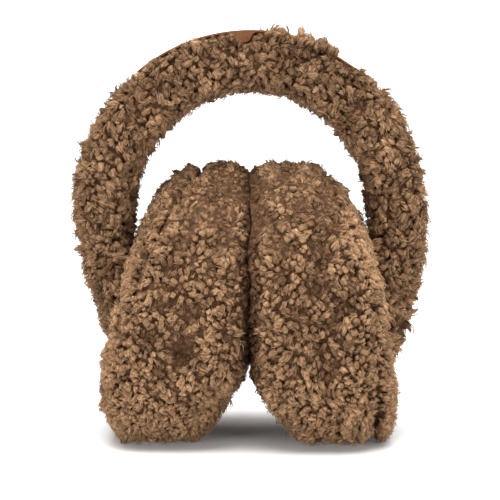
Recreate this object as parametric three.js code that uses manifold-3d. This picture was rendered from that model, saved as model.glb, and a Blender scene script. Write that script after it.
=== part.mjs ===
// Curly shearling earmuffs: a fleece-covered spring headband with a leather strip on its crown,
// and two plump muffs, each made of an ear pad and an outer panel that meet at a pinched seam.
// Unworn, the headband presses the two pads together and the pair stands on its muffs.
// Millimetres, +Z up, X across the head, Y front to back, origin on the floor below the middle.

import * as THREE from "three";
import { mergeVertices } from "three/addons/utils/BufferGeometryUtils.js";
import Module from "manifold-3d";

// ---- Driving dimensions -------------------------------------------------------------------

const GAP = 0.6; // air left between any two pieces
const SEAT_MARGIN = 1.1; // the headband's seat in the outer panels is cut this much larger

const MUFF = {
  centreZ: 65.5, // height of the disc's middle
  radiusZ: 68.5, // a little more than the height, so that the foot comes out flat
  radiusY: 61,
  innerX: -7, // pressed against the other muff: what passes the middle plane is flattened
  outerX: 63, // outer face at the height of the centre
  plumpness: 3.6, // exponent of the rounded section, 2 is an ellipse
  coreShare: 0.64, // where pad and panel meet inside, as a share of the thickness
  edgeWidth: 9, // the flat face's edge is rounded off over this width
  edgeDrop: 0.055, // and by this share of the radius
};

// Where the two sides of the soft pair differ. A side's sign is that of its X.
const SIDES = {
  left: {
    sign: -1,
    lean: THREE.MathUtils.degToRad(14), // the tops lean together and the feet stand apart
    forward: -2.5,
    seamToEarAtTop: 0.26, // how far the seam wanders to the ear side at the top, by thickness
    legRadius: 210, // the legs of the headband curve gently inwards below the crown
    dents: [{ x: 30, z: 41, radius: 10, depth: 5 }], // hollows where the wool parts, in front
  },
  right: {
    sign: 1,
    lean: THREE.MathUtils.degToRad(12.6),
    forward: 2.5,
    seamToEarAtTop: 0.1,
    legRadius: 340,
    dents: [{ x: 34, z: 58, radius: 9, depth: 2.5 }],
  },
};

const SEAM = {
  share: 0.93, // place of the seam across the thickness, front and back
  toEarAtFoot: 0.24, // how far it wanders to the ear side at the foot
  pinch: 0.04, // share of the radius that the stitching pulls in
  pinchWidth: 0.07, // as a share of the thickness
};

const BAND = {
  centreZ: 111, // centre of the crown's arc
  radius: 69.6, // of the middle line of the crown
  endZ: 38, // lowest point of the rounded ends, just below the middle of the muffs
  width: 42, // front to back, over the wool
  plumpness: 2.7,
  endRounding: 15,
};

// Thickness of the headband over the wool, by height of its middle line.
const BAND_THICKNESS = [
  { z: 38, thickness: 13 },
  { z: 66, thickness: 19 },
  { z: 92, thickness: 26 },
  { z: 112, thickness: 30 },
  { z: 156, thickness: 30.4 },
  { z: 172, thickness: 30 },
  { z: 180, thickness: 29 },
];

const STRIP = {
  topRadius: 84.2, // from the centre of the crown's arc
  thickness: 1.8,
  width: 22,
  halfAngle: THREE.MathUtils.degToRad(40),
  margin: THREE.MathUtils.degToRad(2), // flat wool past its ends
  woolRise: 18, // how fast the wool rises past that, in mm for each radian
};

// How many facets each surface is divided into.
const COUNTS = {
  aroundMuff: 36,
  acrossPad: 12,
  acrossPanel: 8,
  acrossCore: 2,
  aroundBand: 26,
  alongArc: 36,
  alongLeg: 9,
  alongStrip: 26,
};

// ---- Helpers ------------------------------------------------------------------------------

const wasm = await Module();
wasm.setup();

/** Thickness of the headband at a height, between the rows of its table. */
function bandThickness(z) {
  const above = BAND_THICKNESS.findIndex((row) => row.z >= z);
  if (above < 0) return BAND_THICKNESS.at(-1).thickness;
  if (above === 0) return BAND_THICKNESS[0].thickness;
  const [low, high] = [BAND_THICKNESS[above - 1], BAND_THICKNESS[above]];
  return THREE.MathUtils.mapLinear(z, low.z, high.z, low.thickness, high.thickness);
}

/** A closed skin over rings of equally many points, with a single point before and after them. */
function skin(first, rings, last) {
  const around = rings[0].length;
  const points = [first, ...rings.flat(), last];
  const index = [];
  const at = (ring, i) => 1 + ring * around + (i % around);
  for (let i = 0; i < around; i++) {
    index.push(0, at(0, i + 1), at(0, i));
    index.push(points.length - 1, at(rings.length - 1, i), at(rings.length - 1, i + 1));
  }
  for (let ring = 0; ring + 1 < rings.length; ring++)
    for (let i = 0; i < around; i++) {
      index.push(at(ring, i), at(ring, i + 1), at(ring + 1, i));
      index.push(at(ring + 1, i), at(ring, i + 1), at(ring + 1, i + 1));
    }
  const geometry = new THREE.BufferGeometry().setFromPoints(points).setIndex(index);
  geometry.computeVertexNormals();
  return geometry;
}

/** A geometry as a manifold-3d solid. */
function solidOf(geometry) {
  const bare = new THREE.BufferGeometry().setAttribute("position", geometry.getAttribute("position"));
  const merged = mergeVertices(bare.setIndex(geometry.getIndex()), 1e-3);
  return new wasm.Manifold(
    new wasm.Mesh({
      numProp: 3,
      vertProperties: new Float32Array(merged.getAttribute("position").array),
      triVerts: new Uint32Array(merged.getIndex().array),
    }),
  );
}

/** A manifold-3d solid as a geometry. */
function geometryOf(solid) {
  const mesh = solid.getMesh();
  const geometry = new THREE.BufferGeometry();
  geometry.setAttribute("position", new THREE.BufferAttribute(mesh.vertProperties, 3));
  geometry.setIndex(new THREE.BufferAttribute(mesh.triVerts, 1));
  geometry.computeVertexNormals();
  return geometry;
}

/** A geometry mirrored across the middle plane, its faces still outwards. */
function mirrored(geometry) {
  const flipped = geometry.clone().scale(-1, 1, 1);
  return flipped.setIndex(Array.from(flipped.getIndex().array).reverse());
}

/** The side of a superellipse at a share of its other axis. */
function bulge(share, exponent) {
  return Math.pow(Math.max(0, 1 - Math.pow(Math.abs(share), exponent)), 1 / exponent);
}

// ---- Muffs --------------------------------------------------------------------------------

/** Where the seam lies across the thickness at an angle round the disc, 0 at its top. */
function seamShare(side, angle) {
  const up = Math.cos(angle);
  const wander = up > 0 ? side.seamToEarAtTop : SEAM.toEarAtFoot;
  return SEAM.share - wander * Math.pow(Math.abs(up), 3);
}

/**
 * A point of a muff, by an angle round the disc, a share of its radius and a share of its
 * thickness. The angle runs from the top of the disc towards its front. This is the muff at +X:
 * the other side is mirrored in the end.
 */
function muffPoint(side, angle, radial, share, shift = 0) {
  const leant = -MUFF.radiusZ * radial * Math.cos(angle) * Math.tan(side.lean);
  const x = THREE.MathUtils.lerp(MUFF.innerX, MUFF.outerX, share) + leant + shift;
  const rounded = radial * (1 - MUFF.edgeDrop * (1 - THREE.MathUtils.smoothstep(x, 0, MUFF.edgeWidth)));
  const z = MUFF.centreZ + MUFF.radiusZ * rounded * Math.cos(angle);
  let y = -MUFF.radiusY * rounded * Math.sin(angle);
  for (const dent of side.dents) {
    const near = Math.exp(-((x - dent.x) ** 2 + (z - dent.z) ** 2) / dent.radius ** 2);
    if (y < 0) y += dent.depth * near * Math.min(1, -y / MUFF.radiusY);
  }
  return new THREE.Vector3(Math.max(x, GAP / 2), y - side.forward, Math.max(z, 0));
}

/** Radius of the disc at a share of its thickness, with the seam pinched in. */
function radialAt(share, seam) {
  const pinch = SEAM.pinch * Math.exp(-(((share - seam) / SEAM.pinchWidth) ** 2));
  return bulge(2 * share - 1, MUFF.plumpness) * (1 - pinch);
}

/** One ring round a muff. place(seam) gives its share of the radius and of the thickness. */
function muffRing(side, place, shift) {
  return Array.from({ length: COUNTS.aroundMuff }, (_, i) => {
    const angle = (2 * Math.PI * i) / COUNTS.aroundMuff;
    return muffPoint(side, angle, ...place(seamShare(side, angle)), shift);
  });
}

/** Rings over the hidden face where pad and panel meet, from the seam towards the middle. */
function coreRings(side, shift) {
  return Array.from({ length: COUNTS.acrossCore }, (_, k) => {
    const inwards = k / COUNTS.acrossCore;
    const place = (seam) => [
      radialAt(seam, seam) * (1 - inwards),
      THREE.MathUtils.lerp(seam, MUFF.coreShare, inwards),
    ];
    return muffRing(side, place, shift);
  });
}

/** Rings over the rounded outside. from(seam) and to(seam) are steps from 0, ear side, to 1. */
function outsideRings(side, from, to, count, shift) {
  return Array.from({ length: count }, (_, k) => {
    const place = (seam) => {
      const step = THREE.MathUtils.lerp(from(seam), to(seam), (k + 1) / (count + 1));
      const share = 0.5 - 0.5 * Math.cos(Math.PI * step);
      return [radialAt(share, seam), share];
    };
    return muffRing(side, place, shift);
  });
}

/** The step at which a share of the thickness is reached. Steps crowd where the section curves. */
const stepOf = (share) => Math.acos(1 - 2 * share) / Math.PI;

/** The ear pad: the thick inner part of the muff, flat where it meets the other one. */
function earPad(side) {
  const rings = [...outsideRings(side, () => 0, stepOf, COUNTS.acrossPad, 0), ...coreRings(side, 0)];
  return skin(muffPoint(side, 0, 0, 0), rings, muffPoint(side, 0, 0, MUFF.coreShare));
}

/** The outer panel: the cap on the far side of the seam, with a seat pressed in by the headband. */
function outerPanel(side, seat) {
  const outside = outsideRings(side, stepOf, () => 1, COUNTS.acrossPanel, GAP);
  const rings = [...coreRings(side, GAP).reverse(), ...outside];
  const cap = skin(
    muffPoint(side, 0, 0, MUFF.coreShare, GAP),
    rings,
    muffPoint(side, 0, 0, 1, GAP),
  );
  return geometryOf(solidOf(cap).subtract(solidOf(seat)));
}

// ---- Headband -----------------------------------------------------------------------------

/** Stations along the headband's middle line, from the -X end over the crown to the +X end. */
function bandStations() {
  const leg = ({ sign, legRadius }) =>
    Array.from({ length: COUNTS.alongLeg }, (_, i) => {
      const z = THREE.MathUtils.lerp(BAND.endZ, BAND.centreZ, (i + 0.5) / COUNTS.alongLeg);
      const turn = Math.asin((BAND.centreZ - z) / legRadius);
      const x = BAND.radius - legRadius * (1 - Math.cos(turn));
      return { x: sign * x, z, outX: sign * Math.cos(turn), outZ: -Math.sin(turn) };
    });
  const crown = Array.from({ length: COUNTS.alongArc + 1 }, (_, i) => {
    const turn = Math.PI * (1 - i / COUNTS.alongArc);
    const [outX, outZ] = [Math.cos(turn), Math.sin(turn)];
    return { x: BAND.radius * outX, z: BAND.centreZ + BAND.radius * outZ, outX, outZ };
  });
  return [...leg(SIDES.left), ...crown, ...leg(SIDES.right).reverse()];
}

/** One section of the headband, grown by a margin: flat below the strip, small at the ends. */
function bandSection(station, margin) {
  const roundedIn = THREE.MathUtils.clamp((station.z - BAND.endZ) / BAND.endRounding, 0, 1);
  const shrink = bulge(1 - roundedIn, 2);
  const thickness = bandThickness(station.z);
  const pastStrip = Math.max(0, Math.acos(station.outZ) - STRIP.halfAngle - STRIP.margin);
  const seatDepth = STRIP.topRadius - STRIP.thickness - GAP - BAND.radius + pastStrip * STRIP.woolRise;
  return Array.from({ length: COUNTS.aroundBand }, (_, i) => {
    const angle = (2 * Math.PI * i) / COUNTS.aroundBand;
    const [across, out] = [Math.cos(angle), Math.sin(angle)];
    const round = (v) => Math.sign(v) * Math.pow(Math.abs(v), 2 / BAND.plumpness);
    const y = (BAND.width / 2) * shrink * round(across) + margin * across;
    let depth = (thickness / 2) * round(out) * Math.sqrt(shrink) + margin * out;
    depth = Math.min(depth, seatDepth);
    return new THREE.Vector3(station.x + station.outX * depth, y, station.z + station.outZ * depth);
  });
}

/** The headband over its wool, grown by a margin for the seat that it presses into the muffs. */
function headband(margin = 0) {
  const stations = bandStations();
  const rings = stations.map((station) => bandSection(station, margin));
  const end = (station) => new THREE.Vector3(station.x, 0, BAND.endZ - margin);
  return skin(end(stations[0]), rings, end(stations.at(-1)));
}

/** A point of the crown strip: its distance along the arc, its side and its radius. */
function stripPoint(along, y, radius) {
  const turn = Math.PI / 2 - along / STRIP.topRadius;
  return new THREE.Vector3(radius * Math.cos(turn), y, BAND.centreZ + radius * Math.sin(turn));
}

/** The leather strip on the crown: a thin bent slab with round ends. */
function crownStrip() {
  const half = STRIP.width / 2;
  const halfLength = STRIP.halfAngle * STRIP.topRadius;
  const inner = STRIP.topRadius - STRIP.thickness;
  // Stations crowd together towards the two ends, so that those come out round.
  const rings = Array.from({ length: COUNTS.alongStrip - 1 }, (_, i) => {
    const along = -halfLength * Math.cos((Math.PI * (i + 1)) / COUNTS.alongStrip);
    const intoEnd = Math.max(0, Math.abs(along) - (halfLength - half));
    const side = Math.sqrt(half ** 2 - intoEnd ** 2);
    return [
      stripPoint(along, -side, inner),
      stripPoint(along, side, inner),
      stripPoint(along, side, STRIP.topRadius),
      stripPoint(along, -side, STRIP.topRadius),
    ];
  });
  const middle = STRIP.topRadius - STRIP.thickness / 2;
  return skin(stripPoint(-halfLength, 0, middle), rings, stripPoint(halfLength, 0, middle));
}

// ---- Assembly -----------------------------------------------------------------------------

const fleece = new THREE.MeshStandardMaterial({ color: 0x8a6a4b, roughness: 0.95, metalness: 0 });
const shorterFleece = new THREE.MeshStandardMaterial({ color: 0x93734f, roughness: 0.95, metalness: 0 });
const leather = new THREE.MeshStandardMaterial({ color: 0x96603c, roughness: 0.6, metalness: 0 });

/** A named piece of the object. */
function piece(name, geometry, material) {
  const mesh = new THREE.Mesh(geometry, material);
  mesh.name = name;
  return mesh;
}

const earmuffs = new THREE.Group();
earmuffs.add(piece("headband", headband(), fleece));
earmuffs.add(piece("crown_strip", crownStrip(), leather));

// A muff is made at +X, so the left one is cut by the mirrored headband and then mirrored.
const grown = headband(SEAT_MARGIN);
for (const [name, side] of Object.entries(SIDES)) {
  const seat = side.sign > 0 ? grown : mirrored(grown);
  const muff = new THREE.Group();
  muff.scale.x = side.sign;
  muff.add(piece(`${name}_ear_pad`, earPad(side), fleece));
  muff.add(piece(`${name}_outer_panel`, outerPanel(side, seat), shorterFleece));
  earmuffs.add(muff);
}

export default earmuffs;
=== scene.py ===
"""Curly shearling earmuffs: pelts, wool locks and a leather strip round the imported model.

Every shape is worked out in millimetres and becomes metres as its mesh is made. The wool's outer
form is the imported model's own form: a pelt lies a few millimetres under it, and curled locks
grow from the pelt until their tips reach it.
"""

import logging
import math
from collections.abc import Callable
from dataclasses import dataclass, field
from enum import Enum

import bpy
import numpy as np
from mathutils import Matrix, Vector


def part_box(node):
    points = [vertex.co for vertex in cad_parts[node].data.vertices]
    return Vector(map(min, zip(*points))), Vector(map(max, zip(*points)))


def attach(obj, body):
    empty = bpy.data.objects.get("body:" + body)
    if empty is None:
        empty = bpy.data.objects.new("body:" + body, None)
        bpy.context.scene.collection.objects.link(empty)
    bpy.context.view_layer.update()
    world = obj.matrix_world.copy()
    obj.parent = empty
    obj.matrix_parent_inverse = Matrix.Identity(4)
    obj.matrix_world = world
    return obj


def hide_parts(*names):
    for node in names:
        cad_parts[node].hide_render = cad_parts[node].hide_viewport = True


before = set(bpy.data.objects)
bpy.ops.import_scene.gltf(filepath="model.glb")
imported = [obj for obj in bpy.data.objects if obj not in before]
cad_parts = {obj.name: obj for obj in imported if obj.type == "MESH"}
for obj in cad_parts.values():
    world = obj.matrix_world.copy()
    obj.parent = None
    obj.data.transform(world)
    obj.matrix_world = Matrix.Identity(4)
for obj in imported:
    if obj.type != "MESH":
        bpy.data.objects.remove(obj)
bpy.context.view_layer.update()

MM = 0.001
LOCK_MAP = "OFBake"  # the locks' own map: how pale a lock is, and the way from its root to its tip
LOCK_SPREAD = 0.1  # how wide a lock is on that map
FIBRE_SPREAD = 0.05  # how wide a fibre is there

log = logging.getLogger("earmuffs")
Array = np.ndarray


class Side(Enum):
    """The two muffs, by the sign of their X."""

    LEFT = -1
    RIGHT = 1

    @property
    def word(self) -> str:
        """The side as it stands in the names of pieces."""
        return self.name.lower()


# ---- Small tools --------------------------------------------------------------------------


def unit(vectors: Array) -> Array:
    """Vectors along the last axis brought to length one."""
    return vectors / np.maximum(np.linalg.norm(vectors, axis=-1, keepdims=True), 1e-9)


def bulge(share: Array, exponent: float) -> Array:
    """The side of a superellipse at a share of its other axis: (1 - |share|^n)^(1/n)."""
    return np.maximum(0.0, 1 - np.abs(share) ** exponent) ** (1 / exponent)


def smooth_step(value: Array, low: float, high: float) -> Array:
    """0 below low, 1 above high, and a smooth rise between them."""
    x = np.clip((value - low) / (high - low), 0, 1)
    return x * x * (3 - 2 * x)


def linear(hex_colour: str) -> tuple[float, float, float, float]:
    """An sRGB hex colour as linear red, green, blue and alpha.

    Args:
        hex_colour: such as #a0b0c0.

    Returns:
        The four channels, each from 0 to 1.
    """
    channels = [int(hex_colour[i : i + 2], 16) / 255 for i in (1, 3, 5)]
    curve = [c / 12.92 if c <= 0.04045 else ((c + 0.055) / 1.055) ** 2.4 for c in channels]
    return (curve[0], curve[1], curve[2], 1.0)


def eased(step: Array) -> Array:
    """Shares of a thickness at even steps round its section: (1 - cos(pi step)) / 2."""
    return 0.5 - 0.5 * np.cos(math.pi * step)


def squared(wave: Array, power: float) -> Array:
    """A sine or a cosine raised to a power with its sign kept, which squares off a section."""
    return np.sign(wave) * np.abs(wave) ** power


def outer_form(
    form: Callable[[Array, Array], Array], u: Array, v: Array, hub: Array
) -> tuple[Array, Array]:
    """Points of a surface, and its unit normals by small steps, which face away from a hub.

    Args:
        form: the place of a point from its two parameters.
        u: the first parameter of each point.
        v: the second one.
        hub: what the normals face away from.

    Returns:
        The points and the normals.
    """
    small = 1e-3
    here = form(u, v)
    ahead = form(u + small, v) - form(u - small, v)
    aside = form(u, v + small) - form(u, v - small)
    normals = unit(np.cross(ahead, aside))
    return here, normals * np.sign(((here - hub) * normals).sum(-1, keepdims=True))


class Waves:
    """A smooth random field: the mean of plane sine waves of one length, in random directions."""

    COUNT = 14

    def __init__(self, length: float, seed: int) -> None:
        """Draws the waves.

        Args:
            length: their middle length in mm.
            seed: sets their directions and phases.
        """
        rng = np.random.default_rng(seed)
        directions = unit(rng.normal(size=(self.COUNT, 3)))
        self.vectors = directions * (2 * math.pi / length) * rng.uniform(0.7, 1.4, (self.COUNT, 1))
        self.phases = rng.uniform(0, 2 * math.pi, self.COUNT)

    def at(self, points: Array) -> Array:
        """The field at points, mostly within -1 to 1."""
        waves = np.sin(points @ self.vectors.T + self.phases)
        return waves.sum(axis=-1) / math.sqrt(self.COUNT / 2) * 0.6


def sway(points: Array, seed: int) -> Array:
    """The way that wool leans at points: slow waves over it, and clumps that lean together.

    Args:
        points: (n, 3) places.
        seed: sets the waves.

    Returns:
        (n, 3) leans.
    """
    slow = np.stack([Waves(31.0, seed + axis).at(points) for axis in range(3)], -1)
    clumps = np.stack([Waves(11.0, seed + 300 + axis).at(points) for axis in range(3)], -1)
    return 0.8 * slow + 1.0 * clumps


def mesh_piece(name: str, points: Array, faces: Array, uv: Array | None = None) -> bpy.types.Object:
    """Puts arrays into a smooth-shaded mesh object that stands at the origin.

    Args:
        name: the piece's name.
        points: (n, 3) places in millimetres.
        faces: (m, 3) indices of each triangle's points.
        uv: (3 m, 2) place of each triangle's corners on the piece's own map, if it has one.

    Returns:
        The linked object.
    """
    mesh = bpy.data.meshes.new(name)
    mesh.vertices.add(len(points))
    mesh.vertices.foreach_set("co", (points * MM).astype(np.float32).ravel())
    mesh.loops.add(faces.size)
    mesh.loops.foreach_set("vertex_index", faces.astype(np.int32).ravel())
    mesh.polygons.add(len(faces))
    mesh.polygons.foreach_set("loop_start", np.arange(0, faces.size, 3, dtype=np.int32))
    mesh.polygons.foreach_set("use_smooth", np.ones(len(faces), dtype=bool))
    if uv is not None:
        layer = mesh.uv_layers.new(name=LOCK_MAP)
        layer.uv.foreach_set("vector", uv.astype(np.float32).ravel())
    mesh.update(calc_edges=True)
    piece = bpy.data.objects.new(name, mesh)
    bpy.context.scene.collection.objects.link(piece)
    return piece


def closed_skin(first: Array, rings: Array, last: Array) -> tuple[Array, Array]:
    """Joins rings of points into a closed skin of triangles, with one point at each end.

    Args:
        first: the point before the first ring.
        rings: (rings, around, 3) points.
        last: the point after the last ring.

    Returns:
        The points and the triangles.
    """
    count, around = rings.shape[:2]
    points = np.vstack([first, rings.reshape(-1, 3), last])
    here = 1 + np.arange(count * around).reshape(count, around)
    beside = np.roll(here, -1, axis=1)
    a, b, c, d = here[:-1], beside[:-1], here[1:], beside[1:]
    walls = np.concatenate([np.stack([a, b, c], -1), np.stack([c, b, d], -1)]).reshape(-1, 3)
    start = np.stack([np.zeros_like(here[0]), beside[0], here[0]], -1)
    end = np.stack([np.full_like(here[0], len(points) - 1), here[-1], beside[-1]], -1)
    return points, np.concatenate([walls, start, end])


# ---- Finishes -----------------------------------------------------------------------------


class Graph:
    """The node tree of a material or of a world, emptied and filled anew."""

    def __init__(self, owner: bpy.types.ID) -> None:
        """Empties the owner's tree.

        Args:
            owner: the material or the world.
        """
        owner.use_nodes = True
        self.owner = owner
        self.tree = owner.node_tree
        self.tree.nodes.clear()

    def add(self, kind: str, settings: dict, links: dict) -> bpy.types.Node:
        """Adds a node.

        Args:
            kind: the node's type without its prefix, such as Bump.
            settings: values by the name of an input, or of an attribute where no input has it;
                stops are the places and hex colours of a ramp.
            links: output sockets by the name or number of the input that each one feeds.

        Returns:
            The new node.
        """
        node = self.tree.nodes.new("ShaderNode" + kind)
        for key, value in settings.items():
            if key == "stops":
                self.set_stops(node.color_ramp.elements, value)
            elif key in node.inputs:
                node.inputs[key].default_value = value
            else:
                setattr(node, key, value)
        for key, socket in links.items():
            self.tree.links.new(socket, node.inputs[key])
        return node

    @staticmethod
    def set_stops(elements: bpy.types.ColorRampElements, stops: dict[float, str]) -> None:
        """Gives a ramp, which has two elements to start with, a colour at each stop.

        Args:
            elements: the ramp's elements.
            stops: hex colours by their places.
        """
        for number, (place, colour) in enumerate(stops.items()):
            element = elements[number] if number < 2 else elements.new(place)
            element.position = place
            element.color = linear(colour)

    def close(self, shader: str, settings: dict, links: dict) -> bpy.types.ID:
        """Adds the last shader, feeds the output with it, and hands back the owner.

        Args:
            shader: the last shader's type without its prefix.
            settings: its values, as in add.
            links: the sockets that feed it, as in add.

        Returns:
            The material or the world.
        """
        last = self.add(shader, settings, links)
        output = "OutputWorld" if isinstance(self.owner, bpy.types.World) else "OutputMaterial"
        self.add(output, {}, {"Surface": last.outputs[0]})
        return self.owner


@dataclass(frozen=True)
class LockWool:
    """Curled sheepskin wool, dyed brown: dark at the roots, where the dark also paints the shade among the
    locks, bleached and matt towards the tips, with a painted highlight on each curl's crown.
    """

    roughness: float = 0.9
    ior: float = 1.55  # keratin
    specular: float = 0.12
    strands_across: float = 5.0  # strands that show over the half of a lock's girth
    strands_along: float = 3.5  # changes of shade along a strand

    # the two dyes from root to tip: dark at the root, partly dye and partly painted shade deep among the
    # locks, palest at the curl's crown as a painted highlight, darker at the tucked-in tip as painted shade;
    # and the streaks, painted shade between the strands
    DEEP = {0.0: "#483222", 0.3: "#583d2a", 0.5: "#664832", 0.78: "#6e5038", 1.0: "#583f2a"}
    PALE = {0.0: "#86644a", 0.3: "#9f7a57", 0.5: "#b9926d", 0.78: "#c59d77", 1.0: "#a5805c"}
    STREAKS = {0.32: "#a0a0a0", 0.6: "#ffffff"}

    def material(self) -> bpy.types.Material:
        """Colour runs along each lock, partly dye and partly painted shade and painted highlight, mixes both
        dyes by its tone, and is streaked by strands with painted shade between them.

        Returns:
            The material.
        """
        graph = Graph(bpy.data.materials.new("curled_sheepskin_wool"))
        place = graph.add("UVMap", {"uv_map": LOCK_MAP}, {}).outputs["UV"]
        axes = graph.add("SeparateXYZ", {}, {"Vector": place}).outputs
        deep = graph.add("ValToRGB", {"stops": self.DEEP}, {"Fac": axes["Y"]}).outputs[0]
        pale = graph.add("ValToRGB", {"stops": self.PALE}, {"Fac": axes["Y"]}).outputs[0]
        dye = graph.add("Mix", {"data_type": "RGBA"}, {0: axes["X"], 6: deep, 7: pale})
        scale = (self.strands_across / LOCK_SPREAD, self.strands_along, 1.0)
        stretch = graph.add("Mapping", {"Scale": scale}, {"Vector": place})
        streaks = graph.add("TexNoise", {"Scale": 1.0, "Detail": 2.0}, {"Vector": stretch.outputs[0]})
        shade = graph.add("ValToRGB", {"stops": self.STREAKS}, {"Fac": streaks.outputs["Fac"]}).outputs[0]
        mix = {"data_type": "RGBA", "blend_type": "MULTIPLY", "Factor": 1.0}
        colour = graph.add("Mix", mix, {6: dye.outputs[2], 7: shade})
        settings = {"Roughness": self.roughness, "IOR": self.ior, "Specular IOR Level": self.specular}
        return graph.close("BsdfPrincipled", settings, {"Base Color": colour.outputs[2]})


@dataclass(frozen=True)
class PeltWool:
    """The short dense wool between the locks: what shows in the gaps, matted, and dark partly as painted
    shade deep among the locks.
    """

    lock_size: float = 2.0  # mm, the wool's matted curls
    strand_size: float = 0.6  # mm, drawn coarser than a strand so that it shows
    relief: float = 1.2  # mm

    # from the middle of a curl to its edge, darker at the edge as painted shade between curls
    CURLS = {0.0: "#826144", 0.4: "#5f4430", 0.9: "#3a291d"}

    def material(self) -> bpy.types.Material:
        """Dark brown, partly as painted shade, mottled by the curls' size and darker towards each curl's edge
        as painted shade between curls, with strands as bump.

        Returns:
            The material.
        """
        graph = Graph(bpy.data.materials.new("matted_sheepskin_wool"))
        spot = {"Vector": graph.add("TexCoord", {}, {}).outputs["Object"]}
        curl = {"Scale": 1 / (self.lock_size * MM), "feature": "SMOOTH_F1"}
        curls = graph.add("TexVoronoi", curl, spot).outputs["Distance"]
        strand = {"Scale": 1 / (self.strand_size * MM), "Detail": 3.0}
        strands = graph.add("TexNoise", strand, spot).outputs["Fac"]
        colour = graph.add("ValToRGB", {"stops": self.CURLS}, {"Fac": curls}).outputs[0]
        height = graph.add("Math", {"operation": "SUBTRACT"}, {0: strands, 1: curls})
        relief = {"Strength": 1.0, "Distance": self.relief * MM}
        bump = graph.add("Bump", relief, {"Height": height.outputs[0]})
        settings = {"Roughness": 0.95, "Specular IOR Level": 0.1}
        links = {"Base Color": colour, "Normal": bump.outputs[0]}
        return graph.close("BsdfPrincipled", settings, links)


@dataclass(frozen=True)
class StripLeather:
    """Smooth aniline leather, the sheepskin's skin side: rust brown, satin, a fine soft grain."""

    grain: float = 0.9  # mm
    cloud: float = 14.0  # mm, slow change of colour
    relief: float = 0.25  # mm

    TANS = {0.3: "#58331a", 0.55: "#673f23", 0.75: "#754b2b"}
    FURROWS = {0.0: "#8a8a8a", 0.15: "#ffffff"}

    def material(self) -> bpy.types.Material:
        """Rust brown with slow clouds, darker in the grain's furrows, and a grain bump.

        Returns:
            The material.
        """
        graph = Graph(bpy.data.materials.new("aniline_leather"))
        spot = {"Vector": graph.add("TexCoord", {}, {}).outputs["Object"]}
        cloud = graph.add("TexNoise", {"Scale": 1 / (self.cloud * MM), "Detail": 4.0}, spot)
        cell = {"Scale": 1 / (self.grain * MM), "feature": "DISTANCE_TO_EDGE"}
        grain = graph.add("TexVoronoi", cell, spot).outputs["Distance"]
        tan = graph.add("ValToRGB", {"stops": self.TANS}, {"Fac": cloud.outputs["Fac"]}).outputs[0]
        furrow = graph.add("ValToRGB", {"stops": self.FURROWS}, {"Fac": grain}).outputs[0]
        mix = {"data_type": "RGBA", "blend_type": "MULTIPLY", "Factor": 0.6}
        colour = graph.add("Mix", mix, {6: tan, 7: furrow})
        bump = graph.add("Bump", {"Strength": 0.35, "Distance": self.relief * MM}, {"Height": grain})
        settings = {"Roughness": 0.6, "IOR": 1.5, "Specular IOR Level": 0.08}
        links = {"Base Color": colour.outputs[2], "Normal": bump.outputs[0]}
        return graph.close("BsdfPrincipled", settings, links)


# ---- Wool ---------------------------------------------------------------------------------


@dataclass
class Bed:
    """Where locks grow: one row of every array for each lock, in millimetres."""

    roots: Array
    normals: Array
    leans: Array  # the way that a lock curls over, before it is turned into the surface
    sizes: Array  # 1 is a full lock
    tones: Array  # 0 is the deep dye and 1 the pale one; on the muffs also lowered as painted shade in the crease and partings, and raised as painted light near the feet
    pressed: Array  # 1 is a lock that lies flat
    lofts: Array  # 1 is a long loose tuft

    def kept(self, keep: Array) -> "Bed":
        """The locks that keep is true of, or the ones that it numbers."""
        return Bed(*(rows[keep] for rows in vars(self).values()))

    def joined(self, other: "Bed") -> "Bed":
        """This bed with another one's locks after its own."""
        pairs = zip(vars(self).values(), vars(other).values())
        return Bed(*(np.concatenate(pair) for pair in pairs))


def lattice(counts: Array, rng: np.random.Generator) -> tuple[Array, Array, Array]:
    """Locks in rows: each one's row, its place in the row, and how far chance shifts it.

    Args:
        counts: how many locks each row takes.
        rng: the source of all chance.

    Returns:
        The rows, the places, and two rows of shifts as shares of a step.
    """
    row = np.repeat(np.arange(len(counts)), counts)
    place = np.arange(counts.sum()) - np.repeat(np.cumsum(counts) - counts, counts)
    return row, place, rng.uniform(-0.42, 0.42, (2, len(row)))


@dataclass(frozen=True)
class Nature:
    """How the locks of one piece differ, over slow waves and from one to the next."""

    sway_seed: int
    wave_seed: int
    tone: float  # the middle one
    patches: float  # how much the tone changes over patches of two sizes
    uneven: float  # mm that roots rise and sink
    droop: float  # how far locks lean down

    def bed(self, roots: Array, normals: Array, places: Array, rng: np.random.Generator) -> Bed:
        """Gives locks their leans, sizes and tones, and lifts or sinks their roots.

        Args:
            roots: (n, 3) even roots.
            normals: (n, 3) unit vectors out of the wool.
            places: (n, 3) places at which the waves are read.
            rng: the source of all chance.

        Returns:
            The bed, with no lock pressed or lofted.
        """
        count, seed = len(places), self.wave_seed
        roots = roots + self.uneven * Waves(10.0, seed + 20).at(places)[:, None] * normals
        leans = sway(places, self.sway_seed) + rng.normal(0, 0.55, places.shape)
        leans += np.array([0, 0, -self.droop])
        patches = self.patches
        tones = self.tone + patches * Waves(18.0, seed).at(places) + patches * Waves(9.0, seed + 2).at(places)
        tones += rng.normal(0, 0.08, count)
        sizes = 1 + 0.14 * Waves(9.0, seed + 10).at(places) + rng.normal(0, 0.15, count)
        return Bed(roots, normals, leans, sizes, tones, np.zeros(count), np.zeros(count))


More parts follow.
